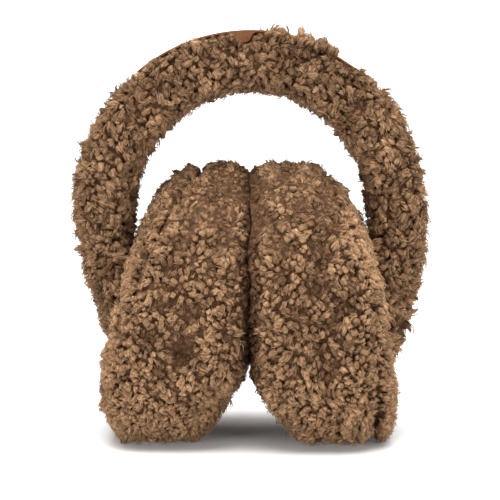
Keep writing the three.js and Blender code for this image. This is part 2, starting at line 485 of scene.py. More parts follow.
@dataclass(frozen=True)
class Touch:
    """A patch on the front where the wool has been parted, pressed or brushed by handling; in a parting or
    hollow its locks are darkened as painted shade.
    """

    x: float
    z: float
    across: float  # mm, half of its width
    along: float  # mm, half of its height, before it is turned
    turn: float = 0.0  # degrees, clockwise from upright
    thin: float = 0.0  # how much smaller the locks are
    press: float = 0.0  # how flat they lie
    pale: float = 0.0  # how much paler they are; below 0 darker, mostly as painted shade in a parting, groove or hollow

    def change(self, bed: Bed, places: Array) -> None:
        """Thins, presses, and bleaches or darkens the locks of a bed whose places lie in the patch; the
        darkening is painted shade.

        Args:
            bed: the locks, which are changed in place.
            places: (n, 3) places of the locks.
        """
        turn = math.radians(self.turn)
        x, z = places[:, 0] - self.x, places[:, 2] - self.z
        across = (x * math.cos(turn) - z * math.sin(turn)) / self.across
        along = (x * math.sin(turn) + z * math.cos(turn)) / self.along
        near = np.exp(-((across**2 + along**2) ** 2)) * (bed.normals[:, 1] < 0.1)
        bed.sizes *= 1 - self.thin * near
        bed.pressed += np.maximum(self.press * near - bed.pressed, 0)
        # a negative pale darkens the locks: painted shade
        bed.tones += self.pale * near


@dataclass(frozen=True)
class Fleece:
    """How the wool of one piece curls."""

    length: float = 4.3  # mm along a lock, root to tip
    curl: float = 2.6  # radians that it bends over
    girth: float = 1.32  # mm, half a lock's width at its thickest
    corners: int = 4  # round a lock
    fibres: int = 4  # loose ones on each lock
    fibre_girth: float = 0.21  # mm, half the width of a fibre, which stands for a few real ones
    stray: float = 1.3  # mm that a fibre's tip may wander sideways

    STATIONS = np.array([0.0, 0.42, 0.84, 1.0])
    GIRTHS = np.array([0.85, 1.08, 0.68])
    LOFTED = np.array([0.95, 0.7, 0.3])
    FIBRE_STATIONS = np.array([0.0, 0.55, 1.0])
    FIBRE_GIRTHS = np.array([1.0, 0.8])

    def grow(self, bed: Bed, rng: np.random.Generator) -> tuple[Array, Array, Array]:
        """Grows every lock of a bed as a fat curled tube, with loose fibres along its back.

        A lock's middle line is an arc of a circle: it leaves the pelt leaning back a little, and
        bends over towards its lean by the curl. At a share s of the way its heading is the angle
        a = a0 + curl * s from the normal n towards the lean t, so that its place is the root plus
        length / curl * ((sin a - sin a0) n + (cos a0 - cos a) t). A fibre starts inside the lock,
        runs the same way a little outside it, and leaves it towards the tip.

        Args:
            bed: where the locks grow.
            rng: the source of all chance.

        Returns:
            Points, triangles and each triangle corner's place on the lock map.
        """
        count = len(bed.roots)
        n = unit(bed.normals)
        t = unit(bed.leans - (bed.leans * n).sum(-1, keepdims=True) * n)
        b = np.cross(n, t)
        size = bed.sizes[:, None]
        loft = bed.lofts[:, None]
        flat = bed.pressed[:, None]

        start = rng.uniform(-0.7, -0.2, (count, 1)) + 0.8 * flat + 0.35 * loft
        curl = self.curl * rng.uniform(0.65, 1.2, (count, 1)) * (1 - 0.45 * flat) * (1 - 0.45 * loft)
        length = self.length * size * rng.uniform(0.9, 1.12, (count, 1)) * (1 + 0.2 * loft)
        turned = rng.uniform(-0.35, 0.35, (count, 1, 3))

        def arc(
            s: Array, start: Array, curl: Array, length: Array, n: Array, t: Array
        ) -> tuple[Array, Array]:
            """Places and outward directions along arcs, at shares s of their way.

            Args:
                s: shares of the way, one row for each arc.
                start: headings at the start.
                curl: radians from start to end.
                length: the arcs' lengths.
                n: normals.
                t: ways that they lean.

            Returns:
                The places from the root, and the directions.
            """
            heading = start + curl * s
            reach = length / curl
            rise = reach * (np.sin(heading) - np.sin(start))
            drift = reach * (np.cos(start) - np.cos(heading))
            place = rise[..., None] * n[:, None] + drift[..., None] * t[:, None]
            back = np.cos(heading)[..., None] * -t[:, None] + np.sin(heading)[..., None] * n[:, None]
            return place, back

        place, back = arc(self.STATIONS[None], start, curl, length, n, t)
        wobble = turned * (self.STATIONS[None, :, None] - 0.3) * size[:, :, None]
        roots = bed.roots + 0.9 * flat * n
        lines = roots[:, None] + place + wobble
        shape = (1 - loft) * self.GIRTHS + loft * self.LOFTED
        girths = self.girth * size * shape
        bodies = tubes(lines, back, b, girths, self.corners, 0.16, rng)
        body_map = lock_map(bed.tones, self.STATIONS, self.corners, LOCK_SPREAD)

        which = np.repeat(np.arange(count), self.fibres)
        many = len(which)
        s0 = rng.uniform(0.1, 0.5, (many, 1))
        s1 = rng.uniform(0.8, 1.2, (many, 1)) + 0.15 * loft[which]
        s = s0 + (s1 - s0) * self.FIBRE_STATIONS[None]
        loose = rng.uniform(0.85, 1.15, (many, 1))
        hair_length = self.length * np.maximum(size[which], 0.75) * (1 + 0.3 * loft[which]) * 1.05
        place, back = arc(s, start[which], curl[which] * loose, hair_length, n[which], t[which])
        round_it = rng.uniform(-1.7, 1.7, (many, 1, 1))
        outwards = np.cos(round_it) * back + np.sin(round_it) * b[which][:, None]
        girth = self.girth * size[which] * (1 - 0.25 * flat[which])
        along = self.FIBRE_STATIONS[None, :, None]
        away = girth[..., None] * (0.75 + 0.5 * along * rng.uniform(0.4, 2.2, (many, 1, 1)))
        aside = self.stray * rng.uniform(-1, 1, (many, 1, 1)) * along**2
        lines = roots[which][:, None] + place + away * outwards + turned[which] * (s[..., None] - 0.3)
        lines += aside * b[which][:, None]
        thin = self.fibre_girth * np.sqrt(size[which]) * rng.uniform(0.5, 1.7, (many, 1)) * self.FIBRE_GIRTHS
        hairs = tubes(lines, back, b[which], thin, 3, 0.0, rng)
        tones = np.clip(bed.tones[which] + rng.normal(0.03, 0.13, many), 0, 1)
        hair_map = lock_map(tones, 0.35 + 0.6 * self.FIBRE_STATIONS, 3, FIBRE_SPREAD)

        points = np.vstack([bodies[0], hairs[0]])
        faces = np.vstack([bodies[1], hairs[1] + len(bodies[0])])
        return points, faces, np.vstack([body_map, hair_map])


def tube_faces(rings: int, corners: int) -> Array:
    """The triangles of a closed tube: rings of corners, a flat start and a last point.

    Args:
        rings: how many rings it has.
        corners: points in each ring.

    Returns:
        (m, 3) indices of points.
    """
    ring = np.arange(corners)
    beside = (ring + 1) % corners
    walls = [
        np.stack([corners * j + ring, corners * (j + 1) + beside, corners * j + beside], -1)
        for j in range(rings - 1)
    ]
    walls += [
        np.stack([corners * j + ring, corners * (j + 1) + ring, corners * (j + 1) + beside], -1)
        for j in range(rings - 1)
    ]
    last = corners * (rings - 1)
    tip = np.stack([last + ring, np.full(corners, last + corners), last + beside], -1)
    start = np.stack([np.zeros(corners - 2, int), ring[1:-1], ring[2:]], -1)
    return np.vstack([*walls, tip, start])


def tubes(
    lines: Array,
    back: Array,
    across: Array,
    girths: Array,
    corners: int,
    lumps: float,
    rng: np.random.Generator,
) -> tuple[Array, Array]:
    """Closed tubes along many middle lines at once.

    Round each station but the last stands a ring: its corner at the angle c lies off the line by
    the girth, times cos c along across plus sin c along back. The last station is the tip.

    Args:
        lines: (tubes, stations, 3) places.
        back: (tubes, stations, 3) unit vectors square to the lines.
        across: (tubes, 3) unit vectors square to both.
        girths: (tubes, stations - 1) half widths.
        corners: how many stand in a ring.
        lumps: how uneven the rings are, as a share of the girth.
        rng: the source of all chance.

    Returns:
        The points and the triangles.
    """
    count, stations = lines.shape[:2]
    rings = stations - 1
    angle = np.arange(corners) * 2 * math.pi / corners + rng.uniform(0, 2 * math.pi, (count, 1))
    cos, sin = np.cos(angle)[:, None, :, None], np.sin(angle)[:, None, :, None]
    spoke = cos * across[:, None, None] + sin * back[:, :rings, None]
    uneven = rng.uniform(1 - lumps, 1 + lumps, (count, rings, corners, 1))
    places = lines[:, :rings, None] + girths[:, :, None, None] * uneven * spoke
    points = np.concatenate([places.reshape(count, -1, 3), lines[:, rings:]], axis=1)
    faces = tube_faces(rings, corners)[None] + points.shape[1] * np.arange(count)[:, None, None]
    return points.reshape(-1, 3), faces.reshape(-1, 3)


def lock_map(tones: Array, stations: Array, corners: int, spread: float) -> Array:
    """Places on the lock map: across by tone and round the tube, up by the way to the tip.

    Args:
        tones: each tube's tone, 0 to 1.
        stations: how far each ring, and the tip, is on the way from root to tip.
        corners: how many stand in a ring.
        spread: how much of the map a tube is wide, there and back round its ring.

    Returns:
        (corners of all triangles, 2) places.
    """
    rings = len(stations) - 1
    around = np.abs(2 * np.arange(corners) / corners - 1)
    template_u = np.append(np.tile(around, rings), 0.5) * spread
    template_v = np.append(np.repeat(stations[:-1], corners), stations[-1]) * 0.96 + 0.02
    face = tube_faces(rings, corners).ravel()
    u = 0.02 + np.clip(tones, 0, 1)[:, None] * (0.96 - spread) + template_u[face][None]
    v = np.broadcast_to(template_v[face][None], u.shape)
    return np.stack([u, v], -1).reshape(-1, 2)


def place_piece(
    name: str, skin: tuple[Array, ...], node: str, finish: bpy.types.Material
) -> bpy.types.Object:
    """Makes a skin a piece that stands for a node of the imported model.

    Args:
        name: the piece's name.
        skin: points, triangles and, if it has one, the piece's own map.
        node: the node that it stands for.
        finish: its material.

    Returns:
        The piece.
    """
    piece = mesh_piece(name, *skin)
    piece.data.materials.append(finish)
    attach(piece, "root")
    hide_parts(node)
    log.info("%s: %d triangles", name, len(piece.data.polygons))
    return piece


# ---- Headband -----------------------------------------------------------------------------


@dataclass(frozen=True)
class Dent:
    """A place where the wool's outer form is pressed in, or swells if the depth is negative."""

    x: float
    z: float
    radius: float
    depth: float

    def press(self, x: Array, z: Array) -> Array:
        """How deep it is at places."""
        return self.depth * np.exp(-((x - self.x) ** 2 + (z - self.z) ** 2) / self.radius**2)


@dataclass
class Headband:
    """The arch: a sheepskin sleeve over a spring, wool outwards, closed and rounded at its ends."""

    low: Array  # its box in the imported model, in mm
    high: Array
    centre_z: float = 111.0
    radius: float = 69.6
    leg_radii: dict = field(default_factory=lambda: {Side.LEFT: 210.0, Side.RIGHT: 340.0})
    heights: tuple = (38, 66, 92, 112, 156, 172, 180)
    thicknesses: tuple = (13, 19, 26, 30, 30.4, 30, 29)
    plumpness: float = 2.7
    usual_thickness: float = 30.0  # by which rows of locks are laid out
    end_rounding: float = 15.0
    slims: tuple = ()
    pelt_depth: float = 3.6
    root_depth: float = 4.9
    row_spacing: float = 2.95
    fleece: Fleece = Fleece(length=5.2, curl=2.8, girth=1.3, fibres=5)
    nature: Nature = Nature(21, 31, tone=0.52, patches=0.22, uneven=0.8, droop=0.25)

    def __post_init__(self) -> None:
        """Works out the lengths of the legs and of the whole middle line."""
        drop = self.centre_z - self.low[2]
        self.legs = {side: r * math.asin(drop / r) for side, r in self.leg_radii.items()}
        self.crown = math.pi * self.radius
        self.span = sum(self.legs.values()) + self.crown

    @property
    def width(self) -> float:
        """Front to back, over the wool."""
        return float(self.high[1] - self.low[1])

    def middle(self, along: Array) -> tuple[Array, Array]:
        """The middle line: a leg that curves gently inwards, a half circle, and the other leg.

        Args:
            along: distance from the left end, in mm.

        Returns:
            Points of the line, and unit vectors out of the arch.
        """
        left, right = self.legs[Side.LEFT], self.legs[Side.RIGHT]
        turn = math.pi * (1 - np.clip((along - left) / self.crown, 0, 1))
        out = np.stack([np.cos(turn), np.zeros_like(turn), np.sin(turn)], -1)
        point = self.radius * out + np.array([0, 0, self.centre_z])
        for side, down in ((Side.LEFT, left - along), (Side.RIGHT, along - (self.span - right))):
            bend = self.leg_radii[side]
            angle = np.maximum(down, 0) / bend
            inwards = self.radius - bend * (1 - np.cos(angle))
            leg = np.stack([side.value * inwards, 0 * angle, self.centre_z - bend * np.sin(angle)], -1)
            leg_out = np.stack([side.value * np.cos(angle), 0 * angle, -np.sin(angle)], -1)
            on_leg = (down > 0)[..., None]
            point = np.where(on_leg, leg, point)
            out = np.where(on_leg, leg_out, out)
        return point, out

    def half_sizes(self, z: Array) -> tuple[Array, Array]:
        """Half the thickness and half the width at a height of the middle line.

        Args:
            z: heights in mm.

        Returns:
            Both halves in mm, shrunk to nothing at the ends.
        """
        rounded = np.clip((z - self.low[2]) / self.end_rounding, 0, 1)
        shrink = bulge(1 - rounded, 2)
        thickness = np.interp(z, self.heights, self.thicknesses)
        return thickness / 2 * np.sqrt(shrink), self.width / 2 * shrink

    def form(self, along: Array, angle: Array, depth: Array | float, strip: "CrownStrip") -> Array:
        """A point under the wool's outer form: a superellipse carried along the middle line.

        Args:
            along: distance from the left end.
            angle: round the section, 0 at the back and a quarter turn at the outside.
            depth: how far under the outer form.
            strip: the leather strip, under which the wool is flat.

        Returns:
            (..., 3) places in mm.
        """
        point, out = self.middle(along)
        thick, wide = self.half_sizes(point[..., 2])
        for slim in self.slims:
            depth = depth + slim.press(point[..., 0], point[..., 2]) * np.maximum(np.sin(angle), 0)
        power = 2 / self.plumpness
        y = (wide - depth) * squared(np.cos(angle), power)
        r = (thick - depth) * squared(np.sin(angle), power)
        r = np.minimum(r, strip.seat_depth(out, y) - self.radius)
        return point + r[..., None] * out + y[..., None] * np.array([0, 1, 0])

    def leg_at(self, side: Side, z: Array) -> tuple[Array, Array]:
        """A leg's slant at a height, and how far its middle line is from the plane between legs.

        Args:
            side: which leg.
            z: heights in mm.

        Returns:
            The slant in radians, and the distance in mm.
        """
        bend = self.leg_radii[side]
        slant = np.arcsin(np.clip((self.centre_z - z) / bend, -0.9, 0.9))
        return slant, self.radius - bend * (1 - np.cos(slant))

    def holds(self, points: Array, margin: float) -> Array:
        """Whether points at or below the crown's centre lie inside a leg grown by a margin.

        Args:
            points: (..., 3) places.
            margin: mm by which the legs are grown.

        Returns:
            True for each point inside.
        """
        inside = np.zeros(points.shape[:-1], dtype=bool)
        below = (points[..., 2] > self.low[2] - margin) & (points[..., 2] < self.centre_z)
        for side in Side:
            slant, centre = self.leg_at(side, points[..., 2])
            off = (side.value * points[..., 0] - centre) * np.cos(slant)
            thick, wide = self.half_sizes(points[..., 2])
            reach = np.abs(off / (thick + margin)) ** self.plumpness
            reach = reach + np.abs(points[..., 1] / (wide + margin)) ** self.plumpness
            inside |= (reach < 1) & below
        return inside

    def pelt(self, strip: "CrownStrip") -> tuple[Array, Array]:
        """The sleeve's closed surface: rings of the form at the pelt's depth, with soft lumps.

        Args:
            strip: the leather strip, under which the wool is flat.

        Returns:
            The points and the triangles.
        """
        steps = np.linspace(0, 1, 170)[1:-1]
        along = self.span * steps[:, None] + np.zeros((1, 72))
        angle = np.linspace(0, 2 * math.pi, 72, endpoint=False)[None] + np.zeros_like(along)
        lumps = Waves(9.0, 11).at(self.form(along, angle, 0.0, strip)) * 0.5
        under = strip.covers(self.form(along, angle, 0.0, strip), 1.0)
        rings = self.form(along, angle, np.where(under, 0.0, self.pelt_depth + lumps), strip)
        ends = self.middle(np.array([0.0, self.span]))[0]
        ends[:, 2] += self.pelt_depth
        return closed_skin(ends[0], rings, ends[1])

    def bed(self, strip: "CrownStrip", rng: np.random.Generator) -> Bed:
        """A lattice of locks in rows along the arch, each row with as many as its length takes.

        Args:
            strip: the leather strip, which keeps its place free.
            rng: the source of all chance.

        Returns:
            The bed of the whole arch.
        """
        flat = self.usual_thickness / 2
        rows = int(2.0 * (self.width + self.usual_thickness) * 0.86 / self.row_spacing)
        fine = np.linspace(0, 2 * math.pi, 721)
        power = 2 / self.plumpness
        across = self.width / 2 * squared(np.cos(fine), power)
        outwards = flat * squared(np.sin(fine), power)
        steps = np.linalg.norm(np.diff(np.stack([across, outwards], -1), axis=0), axis=1)
        run = np.concatenate([[0], np.cumsum(steps)])
        angles = np.interp((np.arange(rows) + 0.5) / rows * run[-1], run, fine)
        lengths = self.span - self.crown + math.pi * (self.radius + flat * np.sin(angles))
        counts = np.round(lengths / self.row_spacing).astype(int)
        row, place, jitter = lattice(counts, rng)
        share = np.clip((place + 0.5 + 0.5 * (row % 2) + jitter[0]) / counts[row], 0.004, 0.996)
        along = self.span * share
        angle = np.interp((row + 0.5 + jitter[1]) / rows * run[-1] % run[-1], run, fine)

        def outside(along: Array, angle: Array) -> Array:
            """The wool's outer form."""
            return self.form(along, angle, 0.0, strip)

        middle, out = self.middle(along)
        here, normals = outer_form(outside, along, angle, middle)
        thick, wide = self.half_sizes(middle[:, 2])
        keep = rng.uniform(size=len(row)) < (thick + wide) / (flat + self.width / 2) * 1.05
        keep &= ~strip.covers(here, 0.3)
        beside = strip.covers(here, 5.0)
        keep &= ~(beside & (here[:, 1] > 0) & (np.abs(here[:, 0] - strip.sag_x) < 4.0))
        keep &= ~(strip.covers(here, 6.0) & (strip.lip(here[:, 0]) > 0.3) & (here[:, 1] < 0))

        bed = self.nature.bed(here - self.root_depth * normals, normals, here, rng)
        outward = (normals * out).sum(-1)
        lofts = np.clip(smooth_step(outward, 0.2, 0.9) * rng.uniform(0.2, 1.0, len(here)), 0, 1)
        hidden = np.where(beside, strip.hidden(out), 0)
        bed.lofts = np.where(beside, hidden * rng.uniform(0.0, 0.45, len(here)), 0.6 * lofts)
        sunk = smooth_step(strip.sag(here[:, 0]), 0.8, 1.5) * (1 - hidden)
        bed.roots += (1.3 * beside * (1 - sunk) + 1.3 * hidden)[:, None] * out
        bed.normals = unit(normals + 0.7 * hidden[:, None] * out)
        bed.roots += 0.7 * smooth_step(-outward, 0.0, 0.6)[:, None] * bed.normals
        bed.tones += 0.12 * beside + 0.2 * hidden - 0.2 * smooth_step(here[:, 2], 150, 175)
        bed.sizes = np.clip(bed.sizes, 0.6, 1.35)
        tuft = bed.kept(np.repeat(np.flatnonzero(keep & (hidden > 0.5)), 2))
        tuft.roots += rng.normal(0, 0.9, tuft.roots.shape) + 0.2 * tuft.normals
        tuft.leans += rng.normal(0, 0.9, tuft.leans.shape)
        tuft.lofts[:] = rng.uniform(0.0, 0.35, len(tuft.lofts))
        return bed.kept(keep).joined(tuft)

    def build(self, strip: "CrownStrip", pelt: bpy.types.Material, wool: bpy.types.Material) -> None:
        """Makes the pelt, and grows its locks in a left and a right half.

        Args:
            strip: the leather strip over the arch.
            pelt: the pelt's material.
            wool: the locks' material.
        """
        skin = self.pelt(strip)
        place_piece("headband_pelt", skin, "headband", pelt)
        rng = np.random.default_rng(7)
        bed = self.bed(strip, rng)
        for side in Side:
            half = bed.kept(np.sign(bed.roots[:, 0]) == side.value)
            grown = self.fleece.grow(half, rng)
            place_piece(f"headband_wool_{side.word}", grown, "headband", wool)


@dataclass
class CrownStrip:
    """The leather strip that covers the crown of the arch: a thin bent slab with round ends."""

    low: Array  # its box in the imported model, in mm
    high: Array
    centre_z: float = 111.0
    thickness: float = 1.8
    half_angle: float = math.radians(40)
    clearance: float = 0.15  # mm from the strip down to the wool that it lies on
    wool_rise: float = 18.0
    bare_edge: float = 0.8  # mm of its edge that shows over the wool
    overgrown: tuple = (8.0, 40.0)  # mm along X where the wool hides its edge
    overgrown_end: float = 50.5  # mm along X from which the wool hides its right end
    lip_x: float = -4.2  # mm, the middle of the short stretch where its front edge is folded down
    lip_reach: float = 4.6  # mm along X
    lip_drop: float = 4.9  # mm
    sag_x: float = 46.0  # mm, where the right shoulder has sunk a little
    sag_reach: float = 16.0
    sag_depth: float = 1.7

    @property
    def top_radius(self) -> float:
        """From the centre of the arch to the strip's face."""
        return float(self.high[2] - self.centre_z)

    @property
    def half_width(self) -> float:
        """Half its width, front to back."""
        return float(self.high[1] - self.low[1]) / 2

    def hidden(self, out: Array) -> Array:
        """1 along the stretch where the wool beside the strip rises over its edge, and 0 elsewhere.

        Args:
            out: unit vectors out of the arch.

        Returns:
            A share for each vector, and 0.7 at the end.
        """
        x = out[..., 0] * self.top_radius
        first, last = self.overgrown
        over_edge = smooth_step(x, first - 2.0, first + 2.0) * (1 - smooth_step(x, last - 3.0, last + 3.0))
        return over_edge + 0.7 * smooth_step(x, self.overgrown_end - 1.5, self.overgrown_end + 1.5)

    def sag(self, x: Array) -> Array:
        """How far the strip and the wool under it have sunk at an X."""
        return self.sag_depth * np.exp(-(((x - self.sag_x) / self.sag_reach) ** 2))

    def seat_depth(self, out: Array, y: Array) -> Array:
        """How far from the arch's centre the wool may reach: flat under the strip, free past it.

        Args:
            out: unit vectors out of the arch.
            y: places front to back, in mm.

        Returns:
            Distances in mm.
        """
        past = np.maximum(0, np.arccos(np.clip(out[..., 2], -1, 1)) - self.half_angle - math.radians(2))
        beside = np.maximum(0, np.abs(y) - self.half_width)
        show = self.thickness + self.clearance - self.bare_edge + 4.0 * self.hidden(out)
        seat = self.top_radius - self.thickness - self.clearance - self.sag(out[..., 0] * self.top_radius)
        folded = self.lip(out[..., 0] * self.top_radius) * (1 - smooth_step(beside, 3.0, 6.0))
        folded = folded * smooth_step(-y, 0.45 * self.half_width, 0.9 * self.half_width)
        return seat + past * self.wool_rise + np.minimum(beside, show) - (self.lip_drop + 0.8) * folded

    def covers(self, points: Array, margin: float) -> Array:
        """Whether points on the wool's outer form lie under the strip grown by a margin.

        Args:
            points: (..., 3) places.
            margin: mm by which the strip is grown.

        Returns:
            True for each point under it.
        """
        height = points[..., 2] - self.centre_z
        angle = np.abs(np.arctan2(points[..., 0], height))
        reach = np.hypot(points[..., 0], height)
        along = angle * self.top_radius - (self.half_angle * self.top_radius - self.half_width)
        off = np.hypot(np.maximum(along, 0), points[..., 1])
        return (off < self.half_width + margin) & (reach > self.top_radius - 8) & (height > 0)

    def lip(self, x: Array) -> Array:
        """1 in the middle of the stretch where the front edge is folded down, and 0 past its ends."""
        return np.exp(-(((x - self.lip_x) / self.lip_reach) ** 6))

    def build(self, finish: bpy.types.Material) -> None:
        """Carries a rounded flat section along the arc, narrowing it to the round ends.

        Args:
            finish: its material.
        """
        half_length = self.half_angle * self.top_radius
        along = -half_length * np.cos(np.linspace(0, math.pi, 122)[1:-1])
        into_end = np.maximum(0, np.abs(along) - (half_length - self.half_width))
        side = np.sqrt(np.maximum(self.half_width**2 - into_end**2, 0))[:, None]
        angle = np.linspace(0, 2 * math.pi, 48, endpoint=False)[None]
        y = side * squared(np.cos(angle), 0.35)
        rounded = squared(np.sin(angle), 0.5)
        r = self.top_radius - self.thickness / 2 * (1 - rounded)
        r = r - 0.35 * (np.abs(y) / self.half_width) ** 6 * (rounded > 0)
        fold = self.lip(along)[:, None] * smooth_step(-y, 0.62 * self.half_width, self.half_width)
        r, y = r - self.lip_drop * fold, y - 2.2 * fold
        turn = (math.pi / 2 - along / self.top_radius)[:, None]
        r = r - self.sag(self.top_radius * np.cos(turn))
        rings = np.stack([r * np.cos(turn), y + 0 * r, self.centre_z + r * np.sin(turn)], -1)
        middle = self.top_radius - self.thickness / 2
        ends = [
            np.array([middle * math.cos(t), 0, self.centre_z + middle * math.sin(t)])
            for t in (math.pi / 2 + self.half_angle, math.pi / 2 - self.half_angle)
        ]
        skin = closed_skin(ends[0], rings, ends[1])
        place_piece("crown_strip_leather", skin, "crown_strip", finish)


# ---- Muffs --------------------------------------------------------------------------------


@dataclass(frozen=True)
class Tuck:
    """How far a muff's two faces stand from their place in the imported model, near a height."""

    z: float
    reach: float
    inner: float  # mm along X, at the ear side
    outer: float  # mm along X, at the far side


@dataclass
class Muff:
    """A plump disc that leans against its twin: an ear pad and an outer panel, sewn together."""

    side: Side
    low: Array  # the ear pad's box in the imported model, in mm
    high: Array
    band: Headband
    lean: float  # radians that the outer face leans out towards its foot
    seam_to_ear_at_top: float
    tucks: tuple
    seam_shows: tuple  # at its top and at its foot: 1 is a deep bare seam, and 0 is one grown over
    dents: tuple
    touches: tuple
    sunk: float = 3.0  # how far the disc would reach under the floor
    inner_x: float = -7.0
    outer_x: float = 63.0
    plumpness: float = 3.6
    core_share: float = 0.64
    edge_width: float = 9.0
    edge_drop: float = 0.055
    seam_share: float = 0.93
    seam_to_ear_at_foot: float = 0.24
    seam_pinch: float = 0.04
    seam_pinch_width: float = 0.07
    gap: float = 0.6  # between ear pad and outer panel
    closest: float = 0.15  # mm from the pelt to the surface where the muffs press on each other
    crease_x: float = -0.8  # mm
    crease_waver: float = 1.1  # mm
    pelt_depth: float = 2.9
    root_depth: float = 4.0
    row_spacing: float = 2.85
    top_drop: float = 1.5  # mm that roots lie deeper at the top
    fleece: Fleece = Fleece(length=4.4, girth=1.3)
    nature: Nature = Nature(24, 32, tone=0.55, patches=0.26, uneven=0.7, droop=0.35)

    @property
    def radius_z(self) -> float:
        """Half the disc's height, with what would reach under the floor."""
        return float(self.high[2] + self.sunk) / 2

    @property
    def centre(self) -> Array:
        """The middle of the disc's rim: its Y and its Z."""
        return np.array([(self.low[1] + self.high[1]) / 2, self.high[2] - self.radius_z])

    @property
    def radius_y(self) -> float:
        """Half the disc's depth, front to back."""
        return float(self.high[1] - self.low[1]) / 2

    @property
    def thickness(self) -> float:
        """Across the disc, before it is flattened against its twin."""
        return self.outer_x - self.inner_x

    def seam(self, angle: Array) -> Array:
        """The seam's place across the thickness: it wanders to the ear side at top and foot.

        Args:
            angle: round the disc.

        Returns:
            Shares of the thickness.
        """
        up = np.cos(angle)
        wander = np.where(up > 0, self.seam_to_ear_at_top, self.seam_to_ear_at_foot)
        return self.seam_share - wander * np.abs(up) ** 3

    def uncut_x(self, angle: Array, radial: Array, share: Array) -> Array:
        """X of a point of the leaning disc before its flat side is cut off.

        Args:
            angle: round the disc.
            radial: shares of the disc's radius.
            share: shares of the thickness.

        Returns:
            X in mm, on the side of +X.
        """
        height = self.radius_z * radial * np.cos(angle)
        x = self.inner_x + share * self.thickness - height * math.tan(self.lean)
        for tuck in self.tucks:
            near = np.exp(-(((height + self.centre[1] - tuck.z) / tuck.reach) ** 2))
            x = x + near * (tuck.inner + share * (tuck.outer - tuck.inner))
        return x

    def form(
        self, angle: Array, radial: Array, share: Array, depth: Array | float, shift: float = 0.0
    ) -> Array:
        """A point under the wool's outer form, on the side of +X.

        The disc is a superellipse turned about its axis. It leans by a shear, its flat side is
        cut off by the middle plane with a rounded edge, and its foot by the floor.

        Args:
            angle: round the disc, from its top towards its front.
            radial: share of the disc's radius.
            share: share of the thickness, 0 at the ear side.
            depth: how far under the outer form.
            shift: a step along X.

        Returns:
            (..., 3) places in mm.
        """
        radial = radial * (1 - depth / self.radius_y)
        share = 0.5 + (share - 0.5) * (1 - 2 * depth / self.thickness)
        x = self.uncut_x(angle, radial, share) + shift
        rounded = radial * (1 - self.edge_drop * (1 - smooth_step(x, 0, self.edge_width)))
        y = -self.radius_y * rounded * np.sin(angle)
        z = self.centre[1] + self.radius_z * rounded * np.cos(angle)
        for dent in self.dents:
            y = y + np.where(y < 0, dent.press(x, z) * np.clip(-y / self.radius_y, 0, 1), 0)
        place = np.stack([x, y + self.centre[0], np.maximum(z, 0.1)], -1)
        place[..., 0] = np.maximum(x, self.crease(place) + self.closest)
        return place

    def crease(self, places: Array) -> Array:
        """X of the wavy surface where the twins press on each other, on the side of +X."""
        return self.side.value * (self.crease_x + self.crease_waver * Waves(22.0, 5).at(places * [0, 1, 1]))

    def bare_seam(self, angle: Array) -> Array:
        """How much of the seam shows, round the disc."""
        top, foot = self.seam_shows
        return 0.5 * (top + foot) + 0.5 * (top - foot) * np.cos(angle)

    def radial_at(self, share: Array, seam: Array, pinch: Array) -> Array:
        """The disc's radius at a share of its thickness, with the seam pinched in."""
        near = np.exp(-(((share - seam) / self.seam_pinch_width) ** 2))
        return bulge(2 * share - 1, self.plumpness) * (1 - pinch * near)

    def mirrored(self, points: Array) -> Array:
        """Points of the +X side brought to the muff's own side."""
        return points * np.array([self.side.value, 1, 1])

    def sit_under_band(self, points: Array) -> Array:
        """Presses points in to clear the headband's leg: X is at most the leg's inner side.

        Args:
            points: (..., 3) places on the side of +X.

        Returns:
            The places, pressed in.
        """
        leg = self.band.leg_at(self.side, points[..., 2])[1]
        thick, wide = self.band.half_sizes(points[..., 2] + 1.0)
        beside = np.abs(points[..., 1]) / np.maximum(wide + 1.2, 0.1)
        limit = leg - (thick + 1.0) * bulge(beside, self.band.plumpness)
        pressed = (beside < 1) & (wide > 0.5)
        x = np.where(pressed, np.minimum(points[..., 0], limit), points[..., 0])
        return np.stack([x, points[..., 1], points[..., 2]], -1)

    def pelt(self, outer: bool) -> tuple[Array, Array]:
        """The closed pelt of the ear pad or of the outer panel.

        Rings run from the middle of the face to the seam, and back inside over the hidden face
        where pad and panel meet.

        Args:
            outer: true for the outer panel.

        Returns:
            The points and the triangles.
        """
        around, across, inside = 140, (26 if outer else 46), 5
        angle = np.linspace(0, 2 * math.pi, around, endpoint=False)[None]
        seam = self.seam(angle)
        at_seam = np.arccos(1 - 2 * seam) / math.pi
        t = np.linspace(0, 1, across + 2)[1:-1, None]
        step = 1 + (at_seam - 1) * t if outer else at_seam * t
        share = eased(step)
        pinch = self.seam_pinch * self.bare_seam(angle) + 0.03
        radial = self.radial_at(share, seam, pinch)
        inwards = (np.arange(inside) / inside)[:, None]
        core_radial = self.radial_at(seam, seam, pinch) * (1 - inwards)
        core_share = seam + (self.core_share - seam) * inwards
        radial = np.vstack([radial, core_radial])
        share = np.vstack([share, core_share])
        angle = np.broadcast_to(angle, radial.shape)
        shift = self.gap if outer else 0.0
        lumps = 0.5 * Waves(9.0, 12).at(self.form(angle, radial, share, 0.0))
        lumps -= 1.0 * smooth_step(self.form(angle, radial, share, 0.0)[..., 2], 84, 112)
        lumps[across:] = 0
        rings = self.form(angle, radial, share, self.pelt_depth + lumps, shift)
        zero = np.zeros(1)
        face = self.form(zero, zero, zero + (1.0 if outer else 0.0), self.pelt_depth, shift)[0]
        core = self.form(zero, zero, zero + self.core_share, self.pelt_depth, shift)[0]
        if outer:
            rings = self.sit_under_band(rings)
            face = self.sit_under_band(face[None])[0]
        points, faces = closed_skin(face, rings, core)
        inside_out = outer != (self.side is Side.LEFT)
        return self.mirrored(points), faces[:, ::-1] if inside_out else faces

